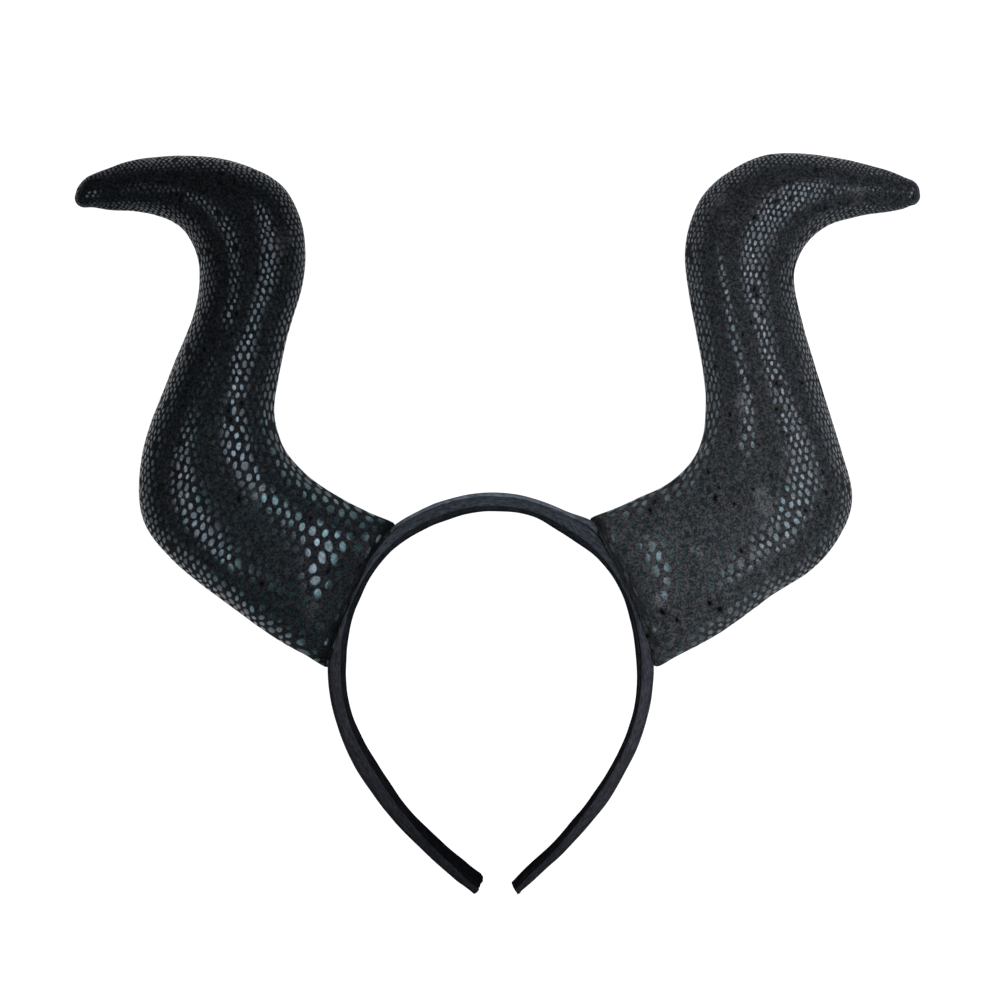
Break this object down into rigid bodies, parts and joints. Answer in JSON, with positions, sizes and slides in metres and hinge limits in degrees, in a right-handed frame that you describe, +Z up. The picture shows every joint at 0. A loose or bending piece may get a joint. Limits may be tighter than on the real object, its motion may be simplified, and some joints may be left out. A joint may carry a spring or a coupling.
{
  "type": "horn headband",
  "caption": "Costume horn headband: a springy teardrop hoop in a padded black satin sleeve, carrying stuffed S-curved horns of black scale-print cloth.",
  "frame": {"origin": "bottom centre of the bounding box, on the table that the backs of the horns lie on", "axes": "+X from the left horn to the right horn as the front shows them, +Y from the tips of the hoop to its crown, +Z up off the table, towards the front of the headband"},
  "size_m": [0.3252, 0.2852, 0.0354],
  "materials": {
    "satin_sleeve": "satin",
    "scale_print_cloth": "satin"
  },
  "bodies": {
    "root": {"headband": "satin_sleeve", "horn_left": "scale_print_cloth", "horn_right": "scale_print_cloth"}
  },
  "joints": []
}
